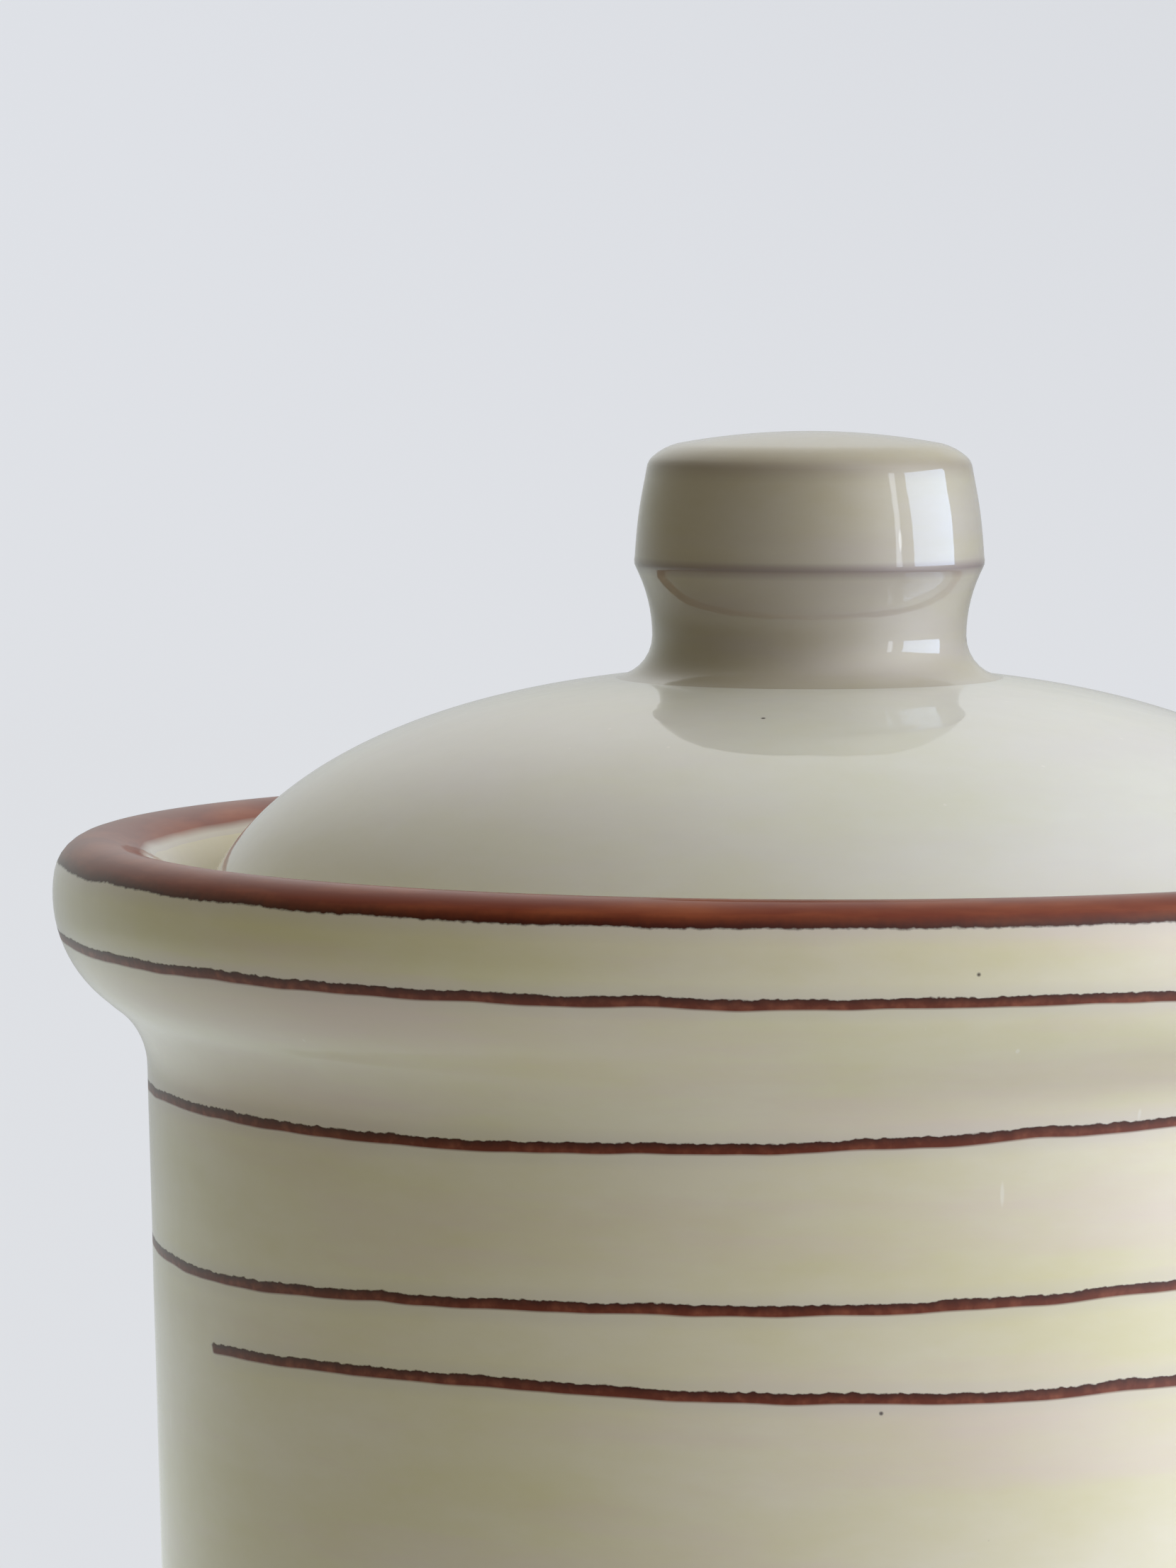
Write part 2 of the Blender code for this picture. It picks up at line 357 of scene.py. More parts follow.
angle = add(wheel, "ShaderNodeMath", {0: share, 1: math.tau}, operation="MULTIPLY").outputs[0]
place = add(
    wheel,
    "GeometryNodeSampleIndex",
    {"Geometry": outline, "Value": add(wheel, "GeometryNodeInputPosition").outputs[0], "Index": row},
    data_type="FLOAT_VECTOR",
)
turned = add(
    wheel,
    "ShaderNodeVectorRotate",
    {"Vector": place.outputs[0], "Angle": angle},
    rotation_type="Z_AXIS",
).outputs[0]
print("the wheel has", len(wheel.nodes), "nodes so far")

# %% Let the hands wander
MEAN_RADIUS = 0.060
frequency = add(wheel, "ShaderNodeMath", {0: 1.0, 1: given.outputs["Wander Size"]}, operation="DIVIDE")
stretched = add(wheel, "ShaderNodeVectorMath", {0: turned, 1: (1.0, 1.0, 2.5)}, operation="MULTIPLY")
wander = add(
    wheel,
    "ShaderNodeTexNoise",
    {
        "Vector": stretched.outputs[0],
        "W": given.outputs["Seed"],
        "Scale": frequency.outputs[0],
        "Detail": 1.0,
    },
    noise_dimensions="4D",
)
inward = add(wheel, "ShaderNodeMath", {0: wander.outputs[0], 1: given.outputs["Wander"]}, operation="MULTIPLY")
squeeze = add(wheel, "ShaderNodeMath", {0: inward.outputs[0], 1: -1 / MEAN_RADIUS, 2: 1.0}, operation="MULTIPLY_ADD")
factors = add(wheel, "ShaderNodeCombineXYZ", {0: squeeze.outputs[0], 1: squeeze.outputs[0], 2: 1.0})
thrown_place = add(wheel, "ShaderNodeVectorMath", {0: turned, 1: factors.outputs[0]}, operation="MULTIPLY")
shaped = add(
    wheel,
    "GeometryNodeSetPosition",
    {"Geometry": grid.outputs["Mesh"], "Position": thrown_place.outputs[0]},
).outputs[0]
print("the wall wanders inwards by at most", round(WANDER * 1000, 2), "mm")

# %% Note what the finishes need
for note in ("along", "bare", "thin"):
    written = add(wheel, "GeometryNodeInputNamedAttribute", {"Name": note}).outputs[0]
    looked_up = add(wheel, "GeometryNodeSampleIndex", {"Geometry": outline, "Value": written, "Index": row})
    shaped = add(
        wheel,
        "GeometryNodeStoreNamedAttribute",
        {"Geometry": shaped, "Name": note, "Value": looked_up.outputs[0]},
    ).outputs[0]

path = add(wheel, "GeometryNodeObjectInfo", {"Object": given.outputs["Brush Path"]}).outputs["Geometry"]
nearest = add(wheel, "GeometryNodeProximity", {0: path}, target_element="EDGES")
here = add(wheel, "GeometryNodeInputPosition").outputs[0]
gap = add(wheel, "ShaderNodeVectorMath", {0: here, 1: nearest.outputs["Position"]}, operation="SUBTRACT")
above = add(wheel, "ShaderNodeSeparateXYZ", {0: gap.outputs[0]}).outputs["Z"]
for note, metres in (("above_stroke", above), ("from_stroke", nearest.outputs["Distance"])):
    millimetres = add(wheel, "ShaderNodeMath", {0: metres, 1: 1000.0}, operation="MULTIPLY")
    shaped = add(
        wheel,
        "GeometryNodeStoreNamedAttribute",
        {"Geometry": shaped, "Name": note, "Value": millimetres.outputs[0]},
    ).outputs[0]

# %% Close the seam and hand the pot over
closed = add(wheel, "GeometryNodeMergeByDistance", {"Geometry": shaped, "Distance": 1e-6}).outputs[0]
smooth = add(wheel, "GeometryNodeSetShadeSmooth", {0: closed}).outputs[0]
bend = add(wheel, "GeometryNodeInputMeshEdgeAngle").outputs[0]
SHARP_EDGE = math.radians(50)
sharp = add(wheel, "ShaderNodeMath", {0: bend, 1: SHARP_EDGE}, operation="GREATER_THAN").outputs[0]
smooth = add(
    wheel,
    "GeometryNodeSetShadeSmooth",
    {"Geometry": smooth, "Selection": sharp, "Shade Smooth": False},
    domain="EDGE",
).outputs[0]
real = add(wheel, "GeometryNodeRealizeInstances", {0: smooth}).outputs[0]
coated = add(wheel, "GeometryNodeSetMaterial", {"Geometry": real, "Material": given.outputs["Finish"]})
add(wheel, "NodeGroupOutput", {0: coated.outputs[0]})
print("the wheel has", len(wheel.nodes), "nodes")

# %% [markdown]
# ## Glazed stoneware
#
# The finish is a milky cream glaze over fired stoneware. It is thick enough to look deep, so light enters it a
# little way and comes out warm, and it has a clear glassy skin on top. Seen close it is not one colour: it
# clouds from cream to straw and to a faint pink over a few centimetres, it carries small iron specks from the
# clay, and where it stretches over a sharp edge it runs thin and turns mauve.
#
# The brushwork is iron oxide under the same glaze. It is darkest along the edge where the brush left most, a
# rusty orange where it is thin, and it stains the glaze next to it a pale lilac.

# %% Colours of the clay and the glaze
# The lid's copy of the glaze colours is cooler and greyer than the jar's, and the knob's is darker and greyer still.
# These differences follow how light and how dark each part looks, not a known difference in the glaze.
JAR_GLAZE = {"milky": linear("#e3dbc3"), "straw": linear("#dbd3aa"), "blush": linear("#decdc1")}
LID_GLAZE = {"milky": linear("#e3e2d6"), "straw": linear("#dcdbc2"), "blush": linear("#dedad4")}
KNOB_DARKER_GLAZE_COPY = {"milky": linear("#b9b2a1"), "straw": linear("#b0a688"), "blush": linear("#b3a9a2")}
THIN_GLAZE = linear("#7f706f")
CLAY = linear("#b89c7c")
SPECK = linear("#3a2a20")
# The near-white colour of the scratch marks is partly the scratches themselves and partly a painted glint.
SCRATCH_GLINT = linear("#f3efe4")
CLOUD_SIZE, DRIFT_SIZE, SPECK_SPACING, SCRATCH_GLINT_SPACING = 20, 14, 11, 4.5  # millimetres


def per_metre(millimetres):
    """Scale of a pattern on coordinates in metres, from the size of its features."""
    return 1000.0 / millimetres


print("clouds in the glaze repeat", round(per_metre(CLOUD_SIZE)), "times in a metre")

# %% [markdown]
# ## The glaze as a material
#
# Each layer is laid over the one before, as on the pot: glaze colour, specks, thin edges, then the iron on the
# jar, then the places wiped bare so that the foot and the lid do not stick to the kiln shelf.


# %% The cream glaze
def cream_layers(tree, place, glaze):
    """Clouded glaze with iron specks and pale scratch marks, partly real scratches and partly painted glints,
    thinner on sharp edges. Returns its colour.
    """
    wide = add(tree, "ShaderNodeVectorMath", {0: place, 1: (0.5, 0.5, 1.3)}, operation="MULTIPLY").outputs[0]
    clouds = add(
        tree,
        "ShaderNodeTexNoise",
        {"Vector": wide, "Scale": per_metre(CLOUD_SIZE), "Detail": 9.0, "Roughness": 0.62},
    )
    cloud = add(tree, "ShaderNodeMapRange", {"Value": clouds.outputs[0], "From Min": 0.4, "From Max": 0.68})
    colour = add(
        tree, "ShaderNodeMix", {0: cloud.outputs[0], 6: glaze["milky"], 7: glaze["straw"]}, data_type="RGBA"
    ).outputs[2]
    bands = add(tree, "ShaderNodeVectorMath", {0: place, 1: (0.22, 0.22, 1.6)}, operation="MULTIPLY").outputs[0]
    drift = add(
        tree,
        "ShaderNodeTexNoise",
        {"Vector": bands, "Scale": per_metre(DRIFT_SIZE), "Detail": 8.0, "Roughness": 0.6},
    )
    pink = add(
        tree,
        "ShaderNodeMapRange",
        {"Value": drift.outputs[0], "From Min": 0.48, "From Max": 0.7, "To Max": 0.9},
    )
    colour = add(
        tree, "ShaderNodeMix", {0: pink.outputs[0], 6: colour, 7: glaze["blush"]}, data_type="RGBA"
    ).outputs[2]
    specks = add(tree, "ShaderNodeTexVoronoi", {"Vector": place, "Scale": per_metre(SPECK_SPACING)})
    speck = add(
        tree,
        "ShaderNodeMapRange",
        {"Value": specks.outputs["Distance"], "From Min": 0.024, "From Max": 0.015},
    )
    colour = add(
        tree, "ShaderNodeMix", {0: speck.outputs[0], 6: colour, 7: SPECK}, data_type="RGBA"
    ).outputs[2]
    # Pale scratch marks stretched upright: partly real scratches in the glaze, partly painted glints.
    tall = add(tree, "ShaderNodeVectorMath", {0: place, 1: (1.0, 1.0, 0.17)}, operation="MULTIPLY").outputs[0]
    scratch_glint_cells = add(tree, "ShaderNodeTexVoronoi", {"Vector": tall, "Scale": per_metre(SCRATCH_GLINT_SPACING)})
    scratch_glint = add(
        tree,
        "ShaderNodeMapRange",
        {"Value": scratch_glint_cells.outputs["Distance"], "From Min": 0.045, "From Max": 0.025, "To Max": 0.45},
    )
    colour = add(
        tree, "ShaderNodeMix", {0: scratch_glint.outputs[0], 6: colour, 7: SCRATCH_GLINT}, data_type="RGBA"
    ).outputs[2]
    thin = add(tree, "ShaderNodeAttribute", attribute_name="thin").outputs["Fac"]
    return add(tree, "ShaderNodeMix", {0: thin, 6: colour, 7: THIN_GLAZE}, data_type="RGBA").outputs[2]


# %% Colours of the iron
IRON_DEEP = linear("#3a140a")
IRON = linear("#6b2e1a")
IRON_THIN = linear("#8a4a33")
RIM_RED = linear("#7a2f10")
RIM_WORN = linear("#9c5029")
LILAC = linear("#cbc2c2")
LINE_WIDTH = 0.9
RIM_OUTER, RIM_INNER = 3.9, -4.6
print("iron lines are", LINE_WIDTH, "mm wide; the rim's coat is", RIM_OUTER - RIM_INNER, "mm round the crest")


# %% Where the iron lies
def iron_places(tree, place):
    """Returns the cover of the lines and the rim, how close each is to its darker edge, and the stain around."""
    rag = add(tree, "ShaderNodeTexNoise", {"Vector": place, "Scale": per_metre(0.7), "Detail": 4.0}).outputs[0]
    sway = add(tree, "ShaderNodeTexNoise", {"Vector": place, "Scale": per_metre(8), "Detail": 1.0}).outputs[0]
    above = add(tree, "ShaderNodeAttribute", attribute_name="above_stroke").outputs["Fac"]
    near = add(tree, "ShaderNodeAttribute", attribute_name="from_stroke").outputs["Fac"]
    ragged = add(tree, "ShaderNodeMath", {0: rag, 1: 0.45, 2: -0.225}, operation="MULTIPLY_ADD").outputs[0]
    swayed = add(tree, "ShaderNodeMath", {0: sway, 1: 0.6, 2: -0.3}, operation="MULTIPLY_ADD").outputs[0]
    offset = add(tree, "ShaderNodeMath", {0: above, 1: swayed}, operation="ADD").outputs[0]
    upper = add(tree, "ShaderNodeMath", {0: offset, 1: ragged}, operation="ADD").outputs[0]
    half = LINE_WIDTH / 2
    under_top = add(
        tree, "ShaderNodeMapRange", {"Value": upper, "From Min": half + 0.05, "From Max": half - 0.05}
    ).outputs[0]
    over_bottom = add(
        tree, "ShaderNodeMapRange", {"Value": offset, "From Min": -half - 0.1, "From Max": -half + 0.1}
    ).outputs[0]
    on_path = add(tree, "ShaderNodeMapRange", {"Value": near, "From Min": 1.2, "From Max": 0.9}).outputs[0]
    line = add(tree, "ShaderNodeMath", {0: under_top, 1: over_bottom}, operation="MULTIPLY").outputs[0]
    line = add(tree, "ShaderNodeMath", {0: line, 1: on_path}, operation="MULTIPLY").outputs[0]
    line_edge = add(tree, "ShaderNodeMapRange", {"Value": upper, "From Min": -0.15, "From Max": half})

    along = add(tree, "ShaderNodeAttribute", attribute_name="along").outputs["Fac"]
    along = add(tree, "ShaderNodeMath", {0: along, 1: swayed}, operation="ADD").outputs[0]
    lipped = add(tree, "ShaderNodeMath", {0: along, 1: ragged}, operation="ADD").outputs[0]
    outer = add(
        tree, "ShaderNodeMapRange", {"Value": lipped, "From Min": RIM_OUTER + 0.1, "From Max": RIM_OUTER - 0.1}
    ).outputs[0]
    inner = add(
        tree, "ShaderNodeMapRange", {"Value": along, "From Min": RIM_INNER - 0.5, "From Max": RIM_INNER + 0.5}
    ).outputs[0]
    rim = add(tree, "ShaderNodeMath", {0: outer, 1: inner}, operation="MULTIPLY").outputs[0]
    rim_edge = add(tree, "ShaderNodeMapRange", {"Value": lipped, "From Min": RIM_OUTER - 1.2, "From Max": RIM_OUTER})

    line_stain = add(tree, "ShaderNodeMapRange", {"Value": near, "From Min": 1.7, "From Max": 0.4, "To Max": 0.35})
    rim_stain = add(
        tree,
        "ShaderNodeMapRange",
        {"Value": along, "From Min": RIM_OUTER + 1.5, "From Max": RIM_OUTER, "To Max": 0.45},
    )
    rim_side = add(tree, "ShaderNodeMath", {0: along, 1: RIM_INNER - 1.0}, operation="GREATER_THAN")
    rim_stain = add(tree, "ShaderNodeMath", {0: rim_stain.outputs[0], 1: rim_side.outputs[0]}, operation="MULTIPLY")
    stain = add(tree, "ShaderNodeMath", {0: line_stain.outputs[0], 1: rim_stain.outputs[0]}, operation="MAXIMUM")
    return line, line_edge.outputs[0], rim, rim_edge.outputs[0], stain.outputs[0]


# %% The iron brushwork
def iron_layers(tree, place, colour):
    """The thin strokes and the coated rim, over a glaze colour. Returns the colour and the iron's cover."""
    line, line_edge, rim, rim_edge, stain = iron_places(tree, place)
    colour = add(tree, "ShaderNodeMix", {0: stain, 6: colour, 7: LILAC}, data_type="RGBA").outputs[2]

    grain = add(tree, "ShaderNodeTexNoise", {"Vector": place, "Scale": per_metre(1.2), "Detail": 4.0}).outputs[0]
    dry = add(tree, "ShaderNodeMapRange", {"Value": grain, "From Min": 0.45, "From Max": 0.72}).outputs[0]
    brown = add(tree, "ShaderNodeMix", {0: dry, 6: IRON, 7: IRON_THIN}, data_type="RGBA").outputs[2]
    brown = add(tree, "ShaderNodeMix", {0: line_edge, 6: brown, 7: IRON_DEEP}, data_type="RGBA").outputs[2]
    colour = add(tree, "ShaderNodeMix", {0: line, 6: colour, 7: brown}, data_type="RGBA").outputs[2]

    pull = add(tree, "ShaderNodeVectorMath", {0: place, 1: (0.12, 0.12, 1.0)}, operation="MULTIPLY").outputs[0]
    streaks = add(tree, "ShaderNodeTexNoise", {"Vector": pull, "Scale": per_metre(1.5), "Detail": 4.0}).outputs[0]
    worn = add(tree, "ShaderNodeMapRange", {"Value": streaks, "From Min": 0.42, "From Max": 0.75}).outputs[0]
    red = add(tree, "ShaderNodeMix", {0: worn, 6: RIM_RED, 7: RIM_WORN}, data_type="RGBA").outputs[2]
    red = add(tree, "ShaderNodeMix", {0: rim_edge, 6: red, 7: IRON_DEEP}, data_type="RGBA").outputs[2]
    colour = add(tree, "ShaderNodeMix", {0: rim, 6: colour, 7: red}, data_type="RGBA").outputs[2]
    cover = add(tree, "ShaderNodeMath", {0: line, 1: rim}, operation="MAXIMUM").outputs[0]
    return colour, cover


# %% Put the layers together
def glazed_stoneware(name, glaze, painted):
    """Stoneware under a glossy milky glaze, with iron brushwork if it is painted."""
    material = bpy.data.materials.new(name)
    material.use_nodes = True
    tree = material.node_tree
    shader = tree.nodes["Principled BSDF"]
    place = add(tree, "ShaderNodeTexCoord").outputs["Object"]
    colour = cream_layers(tree, place, glaze)
    cover = None
    if painted:
        colour, cover = iron_layers(tree, place, colour)
    bare = add(tree, "ShaderNodeAttribute", attribute_name="bare").outputs["Fac"]
    colour = add(tree, "ShaderNodeMix", {0: bare, 6: colour, 7: CLAY}, data_type="RGBA").outputs[2]
    tree.links.new(colour, shader.inputs["Base Color"])

    glassy = add(tree, "ShaderNodeMapRange", {"Value": bare, "To Min": 1.0, "To Max": 0.0}).outputs[0]
    if cover:
        dulled = add(tree, "ShaderNodeMapRange", {"Value": cover, "To Min": 1.0, "To Max": 0.4}).outputs[0]
        glassy = add(tree, "ShaderNodeMath", {0: glassy, 1: dulled}, operation="MULTIPLY").outputs[0]
    tree.links.new(glassy, shader.inputs["Coat Weight"])
    roughness = add(tree, "ShaderNodeMapRange", {"Value": bare, "To Min": 0.5, "To Max": 0.85}).outputs[0]
    tree.links.new(roughness, shader.inputs["Roughness"])
    shader.inputs["Specular IOR Level"].default_value = 0.2
    shader.inputs["Coat Roughness"].default_value = 0.04
    shader.inputs["Coat IOR"].default_value = 1.5
    shader.inputs["Subsurface Weight"].default_value = 0.12
    shader.inputs["Subsurface Radius"].default_value = (0.0022, 0.0018, 0.0012)
    shader.inputs["Subsurface Scale"].default_value = 1.0

    peel = add(tree, "ShaderNodeTexNoise", {"Vector": place, "Scale": per_metre(5), "Detail": 2.0}).outputs[0]
    level = add(tree, "ShaderNodeVectorMath", {0: place, 1: (0.1, 0.1, 1.0)}, operation="MULTIPLY").outputs[0]
    ridges = add(tree, "ShaderNodeTexNoise", {"Vector": level, "Scale": per_metre(6), "Detail": 2.0}).outputs[0]
    height = add(tree, "ShaderNodeMath", {0: ridges, 1: 1.6, 2: peel}, operation="MULTIPLY_ADD").outputs[0]
    if cover:
        height = add(tree, "ShaderNodeMath", {0: cover, 1: 0.5, 2: height}, operation="MULTIPLY_ADD").outputs[0]
    bump = add(tree, "ShaderNodeBump", {"Height": height, "Strength": 0.6, "Distance": 0.00006})
    tree.links.new(bump.outputs[0], shader.inputs["Normal"])
    tree.links.new(bump.outputs[0], shader.inputs["Coat Normal"])
    print(name, "has", len(tree.nodes), "nodes")
    return material


jar_finish = glazed_stoneware("cream_glazed_stoneware_with_iron_banding", JAR_GLAZE, painted=True)
lid_finish = glazed_stoneware("cream_glazed_stoneware", LID_GLAZE, painted=False)
# The knob's finish is a darker, greyer copy of the cream glaze, following how dark the knob looks.
knob_finish = glazed_stoneware("darker_greyer_copy_of_cream_glaze", KNOB_DARKER_GLAZE_COPY, painted=False)

# %% [markdown]
# ## Throwing the pieces
#
# A piece starts as its outline, a bare line of points. Each point carries three notes for the wheel to copy:
# its distance along the outline from a chosen point, whether the clay is wiped bare there, and how thin the
# glaze runs. The modifier does the turning, and its result is kept as a plain mesh.


# %% Throw a piece
def throw(name, points, start, bare_zones, thin_edges, finish):
    """Turns an outline into a plain mesh object. All places are in millimetres.

    start is where the distance along the outline is 0. A bare zone is (least radius, greatest radius, lowest,
    highest). A thin edge is (place, reach, strength).
    """
    mesh = bpy.data.meshes.new(name + "_outline")
    steps = [(i, i + 1) for i in range(len(points) - 1)]
    mesh.from_pydata([(r / 1000, 0.0, z / 1000) for r, z in points], steps, [])
    lengths = [0.0]
    for before, after in zip(points, points[1:]):
        lengths.append(lengths[-1] + math.dist(before, after))
    zero = lengths[min(range(len(points)), key=lambda i: math.dist(points[i], start))]

    def thinness(point):
        return max(
            (strength * math.exp(-((math.dist(point, at) / reach) ** 2)) for at, reach, strength in thin_edges),
            default=0.0,
        )

    notes = {
        "along": [zero - length for length in lengths],
        "bare": [float(any(a < r < b and c < z < d for a, b, c, d in bare_zones)) for r, z in points],
        "thin": [thinness(point) for point in points],
    }
    for note, values in notes.items():
        mesh.attributes.new(note, "FLOAT", "POINT").data.foreach_set("value", values)
    blank = bpy.data.objects.new(name + "_outline", mesh)
    bpy.context.scene.collection.objects.link(blank)
    modifier = blank.modifiers.new("wheel", "NODES")
    modifier.node_group = wheel
    sockets = {item.name: item.identifier for item in wheel.interface.items_tree if item.in_out == "INPUT"}
    settings = {
        "Steps Round": STEPS_ROUND,
        "Wander": WANDER,
        "Wander Size": WANDER_SIZE,
        "Seed": SEED,
        "Brush Path": brush_path,
        "Finish": finish,
    }
    for setting, value in settings.items():
        modifier[sockets[setting]] = value
    graph = bpy.context.evaluated_depsgraph_get()
    thrown = bpy.data.meshes.new_from_object(
        blank.evaluated_get(graph), preserve_all_data_layers=True, depsgraph=graph
    )
    bpy.data.objects.remove(blank)
    thrown.name = name
    piece = bpy.data.objects.new(name, thrown)
    bpy.context.scene.collection.objects.link(piece)
    volume = sum(thrown.vertices[p.vertices[0]].co.dot(p.normal) * p.area / 3 for p in thrown.polygons)
    print(name, len(thrown.vertices), "points, solid volume", round(volume * 1e6, 1), "ml")
    return piece


# %% [markdown]
# ## The three pieces
#
# The foot ring stands on the kiln shelf, and the lid is fired in its place on the gallery, so both are wiped
# bare where they would stick. The knob's glaze runs thin on its crease and its shoulder. Each piece rides on
# its body in the frame and stands in for that body's part of the CAD model.

# %% The jar
jar = throw(
    "thrown_jar",
    jar_outline,
    start=(61.4, CREST),
    bare_zones=[(43.0, 49.0, -0.1, 0.7), (48.6, 53.4, LEDGE - 0.5, LEDGE + 0.1)],
    thin_edges=[((49.0, LEDGE), 0.8, 0.5)],
    finish=jar_finish,
)
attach(jar, "jar")
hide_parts("jar")

# %% The lid and its knob
JOINT = (KNOB_FOOT, CREST + 13.4)  # where the knob's outline meets the dome's
lid = throw(
    "domed_lid",
    lid_outline,
    start=JOINT,
    bare_zones=[(43.0, 53.0, CREST - 20.0, LEDGE + 0.6)],
    thin_edges=[((53.2, LEDGE + 1.0), 0.7, 0.5)],
    finish=lid_finish,
)
knob = throw(
    "luted_knob",
    knob_outline,
    start=JOINT,
    bare_zones=[],
    thin_edges=[((15.05, CREST + 23.2), 0.45, 0.8), ((13.9, CREST + 31.8), 0.7, 0.35)],
    finish=knob_finish,
)
for piece, node in ((lid, "lid"), (knob, "knob")):
    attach(piece, "lid")
    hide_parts(node)
bpy.data.objects.remove(brush_path)

# %% [markdown]
# ## The studio
#
# A pale sheet covers the table and curves up all round, far enough away that a camera can go round the pot.
# It is there for the camera to see and takes the pot's shadow, but it throws no light back, so that the light
# on the pot is decided by the window and the room alone. What a pale table gives back from below comes from a
# round card just under the sheet. It glows in the middle, fades out so that no edge of it shows in the glaze,
# and is clear, so that the room's own light from below comes through it.


# %% The sheet on the table and the backdrop
def plain_paper(name, colour, glow):
    """Matt paper, with a little light of its own so that it stays even."""
    material = bpy.data.materials.new(name)
    material.use_nodes = True
    shader = material.node_tree.nodes["Principled BSDF"]
    shader.inputs["Base Color"].default_value = linear(colour)
    shader.inputs["Roughness"].default_value = 0.9
    shader.inputs["Specular IOR Level"].default_value = 0.0
    shader.inputs["Emission Color"].default_value = linear("#f2f4f7")
    shader.inputs["Emission Strength"].default_value = glow
    return material


def turned_sheet(name, side, material):
    """A sheet made by turning a side view, a list of (radius, height) in metres, about the pot's axis."""
    steps = 96
    spokes = [(math.cos(math.tau * i / steps), math.sin(math.tau * i / steps)) for i in range(steps)]
    corners = [(r * x, r * y, z) for r, z in side for x, y in spokes]
    faces = []
    for row_start in range(0, (len(side) - 1) * steps, steps):
        for i in range(steps):
            j = (i + 1) % steps
            faces.append((row_start + i, row_start + j, row_start + steps + j, row_start + steps + i))
    mesh = bpy.data.meshes.new(name)
    mesh.from_pydata(corners, [], faces)
    mesh.shade_smooth()
    mesh.materials.append(material)
    sheet = bpy.data.objects.new(name, mesh)
    bpy.context.scene.collection.objects.link(sheet)
    return sheet


paper = plain_paper("pale_paper", "#93959a", 0.59)
bend, curve, top = 2.2, 1.2, 4.6  # metres: where it starts to rise, how tightly it curves, how high it goes
side = [(0.0001, 0.0), (0.3, 0.0), (1.0, 0.0)]
quarter = [math.pi / 2 * i / 24 for i in range(25)]
side += [(bend + curve * math.sin(a), curve * (1 - math.cos(a))) for a in quarter]
backdrop = turned_sheet("paper_backdrop", side + [(bend + curve, top)], paper)
backdrop.visible_diffuse = backdrop.visible_glossy = backdrop.visible_shadow = False
print("the backdrop stands", round(bend + curve, 2), "m from the canister")

# %% The bounce card
CARD_RADIUS, CARD_DROP, CARD_GLOW = 1.3, 0.003, 0.46
card_glow = bpy.data.materials.new("bounce_card")
card_glow.use_nodes = True
tree = card_glow.node_tree
tree.nodes.clear()
middle = add(tree, "ShaderNodeTexCoord").outputs["Object"]
reach = add(tree, "ShaderNodeVectorMath", {0: middle}, operation="LENGTH")
fade = add(
    tree,
    "ShaderNodeMapRange",
    {"Value": reach.outputs["Value"], "From Min": 1.2, "From Max": 0.1},
    interpolation_type="SMOOTHERSTEP",
)
strength = add(tree, "ShaderNodeMath", {0: fade.outputs[0], 1: CARD_GLOW}, operation="MULTIPLY")
glow = add(tree, "ShaderNodeEmission", {"Color": linear("#f9fffc"), "Strength": strength.outputs[0]})
clear = add(tree, "ShaderNodeBsdfTransparent")
both = add(tree, "ShaderNodeAddShader", {0: glow.outputs[0], 1: clear.outputs[0]})
add(tree, "ShaderNodeOutputMaterial", {0: both.outputs[0]})
card = turned_sheet("bounce_card", [(r, -CARD_DROP) for r in (0.0001, 0.6, CARD_RADIUS)], card_glow)
card.visible_camera = card.visible_shadow = False
print("the card under the sheet is", 2 * CARD_RADIUS, "m across")

# %% [markdown]
# ## The light
#
# The light is that of a room with a window on the right. The window itself is one bright panel and a narrow
# one beside it, which give the knob its sharp reflection. Everything else is the world's own light, made of soft
# lobes: each is brightest in one direction and fades with the angle away from it, so no edge of a lamp shows in
# the glaze. The camera itself does not see these lobes. Past the end of the sheet it sees plain pale paper.

# %% The room's light
room = bpy.data.worlds.new("daylit_room")
bpy.context.scene.world = room
room.use_nodes = True
sky = room.node_tree
looking = add(sky, "ShaderNodeTexCoord").outputs["Generated"]
SKY = [  # name, degrees right of the front, degrees up, sharpness, red, green and blue radiance
    ("front_right", 45, 27, 4.5, 0.52, 0.49, 0.48),
    ("side_low", 74, 10, 6.0, 1.09, 1.12, 1.17),
    ("side_high", 74, 45, 6.0, 1.25, 1.25, 1.25),
    ("side_under", 74, -20, 6.0, 0.81, 0.85, 0.91),
    ("back_low", 180, 15, 6.0, 0.46, 0.47, 0.47),
    ("back_high", 180, 50, 6.0, 0.75, 0.74, 0.72),
    ("back_left", 225, 20, 6.0, 0.12, 0.11, 0.07),
    ("back_left_low", 225, -10, 6.0, 0.33, 0.37, 0.38),
    ("left_low", 275, 5, 5.0, 0.18, 0.14, 0.05),
]


def towards(azimuth, elevation):
    """Direction from degrees to the right of the front and degrees up."""
    a, e = math.radians(azimuth), math.radians(elevation)
    return Vector((math.sin(a) * math.cos(e), -math.cos(a) * math.cos(e), math.sin(e)))


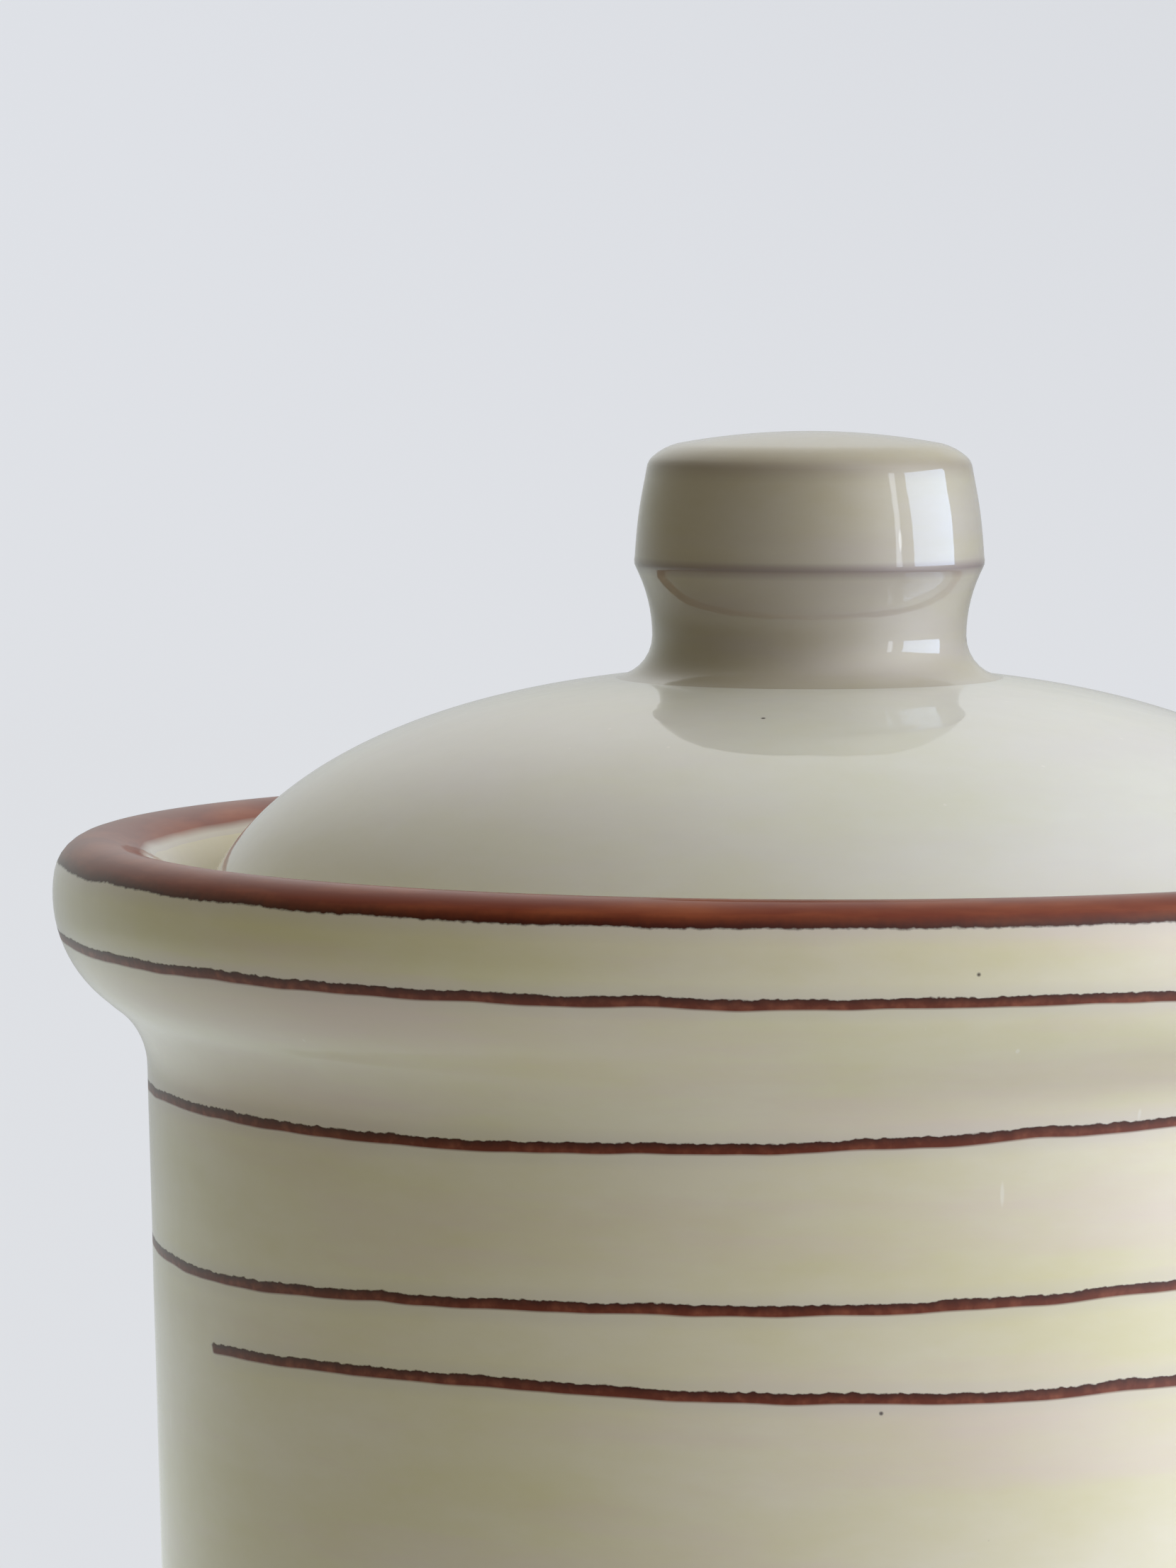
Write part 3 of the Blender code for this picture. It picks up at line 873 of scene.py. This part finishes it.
total = None
for lobe_name, azimuth, elevation, sharpness, *radiance in SKY:
    facing = add(sky, "ShaderNodeVectorMath", {0: looking, 1: towards(azimuth, elevation)}, operation="DOT_PRODUCT")
    fall = add(
        sky, "ShaderNodeMath", {0: facing.outputs["Value"], 1: sharpness, 2: -sharpness}, operation="MULTIPLY_ADD"
    )
    strength = add(sky, "ShaderNodeMath", {0: fall.outputs[0]}, operation="EXPONENT").outputs[0]
    lobe = add(sky, "ShaderNodeVectorMath", {0: radiance, "Scale": strength}, operation="SCALE", label=lobe_name)
    if total:
        lobe = add(sky, "ShaderNodeVectorMath", {0: total, 1: lobe.outputs[0]}, operation="ADD")
    total = lobe.outputs[0]
seen = add(sky, "ShaderNodeLightPath").outputs["Is Camera Ray"]
plain = add(sky, "ShaderNodeMix", {0: seen, 6: total, 7: linear("#e2e5ea")}, data_type="RGBA")
sky.links.new(plain.outputs[2], sky.nodes["Background"].inputs["Color"])
print("the room's light has", len(SKY), "lobes")


# %% The window
def window_panel(name, azimuth, elevation, width, height, radiance, colour):
    """A bright panel six metres off, facing the pot. width and height are in degrees."""
    distance, aim = 6.0, Vector((0.0, 0.0, 0.15))
    panel = bpy.data.lights.new(name, "AREA")
    panel.shape = "RECTANGLE"
    panel.size = 2 * distance * math.tan(math.radians(width / 2))
    panel.size_y = 2 * distance * math.tan(math.radians(height / 2))
    panel.energy = math.pi * panel.size * panel.size_y * radiance
    panel.color = linear(colour)[:3]
    holder = bpy.data.objects.new(name, panel)
    out = towards(azimuth, elevation)
    holder.location = aim + out * distance
    holder.rotation_euler = (-out).to_track_quat("-Z", "Y").to_euler()
    holder.visible_camera = False
    bpy.context.scene.collection.objects.link(holder)
    print(name, "is", round(panel.size, 2), "by", round(panel.size_y, 2), "m")


window_panel("window_pane", 92, 8, 38, 19, 5.6, "#c4dbff")
window_panel("window_slit", 61, 8, 4, 19, 4.0, "#e6efff")
bpy.context.scene.view_settings.view_transform = "Standard"

# %% [markdown]
# ## The camera
#
# A long lens from a short way above the rim: the collar is seen almost edge on, and its far side shows over
# the near side as a narrow ellipse.

# %% The camera
lens = bpy.data.cameras.new("camera")
lens.lens = 160
lens.sensor_width = 36
camera = bpy.data.objects.new("camera", lens)
camera.location = (0.0, -0.598, (CREST + 51.0) / 1000)
camera.rotation_euler = (math.radians(90 - 4.48), 0.0, math.radians(1.82))
bpy.context.scene.collection.objects.link(camera)
bpy.context.scene.camera = camera
lens.clip_start = 0.01
print("the camera stands", round(-camera.location.y, 3), "m in front of the pot's axis")
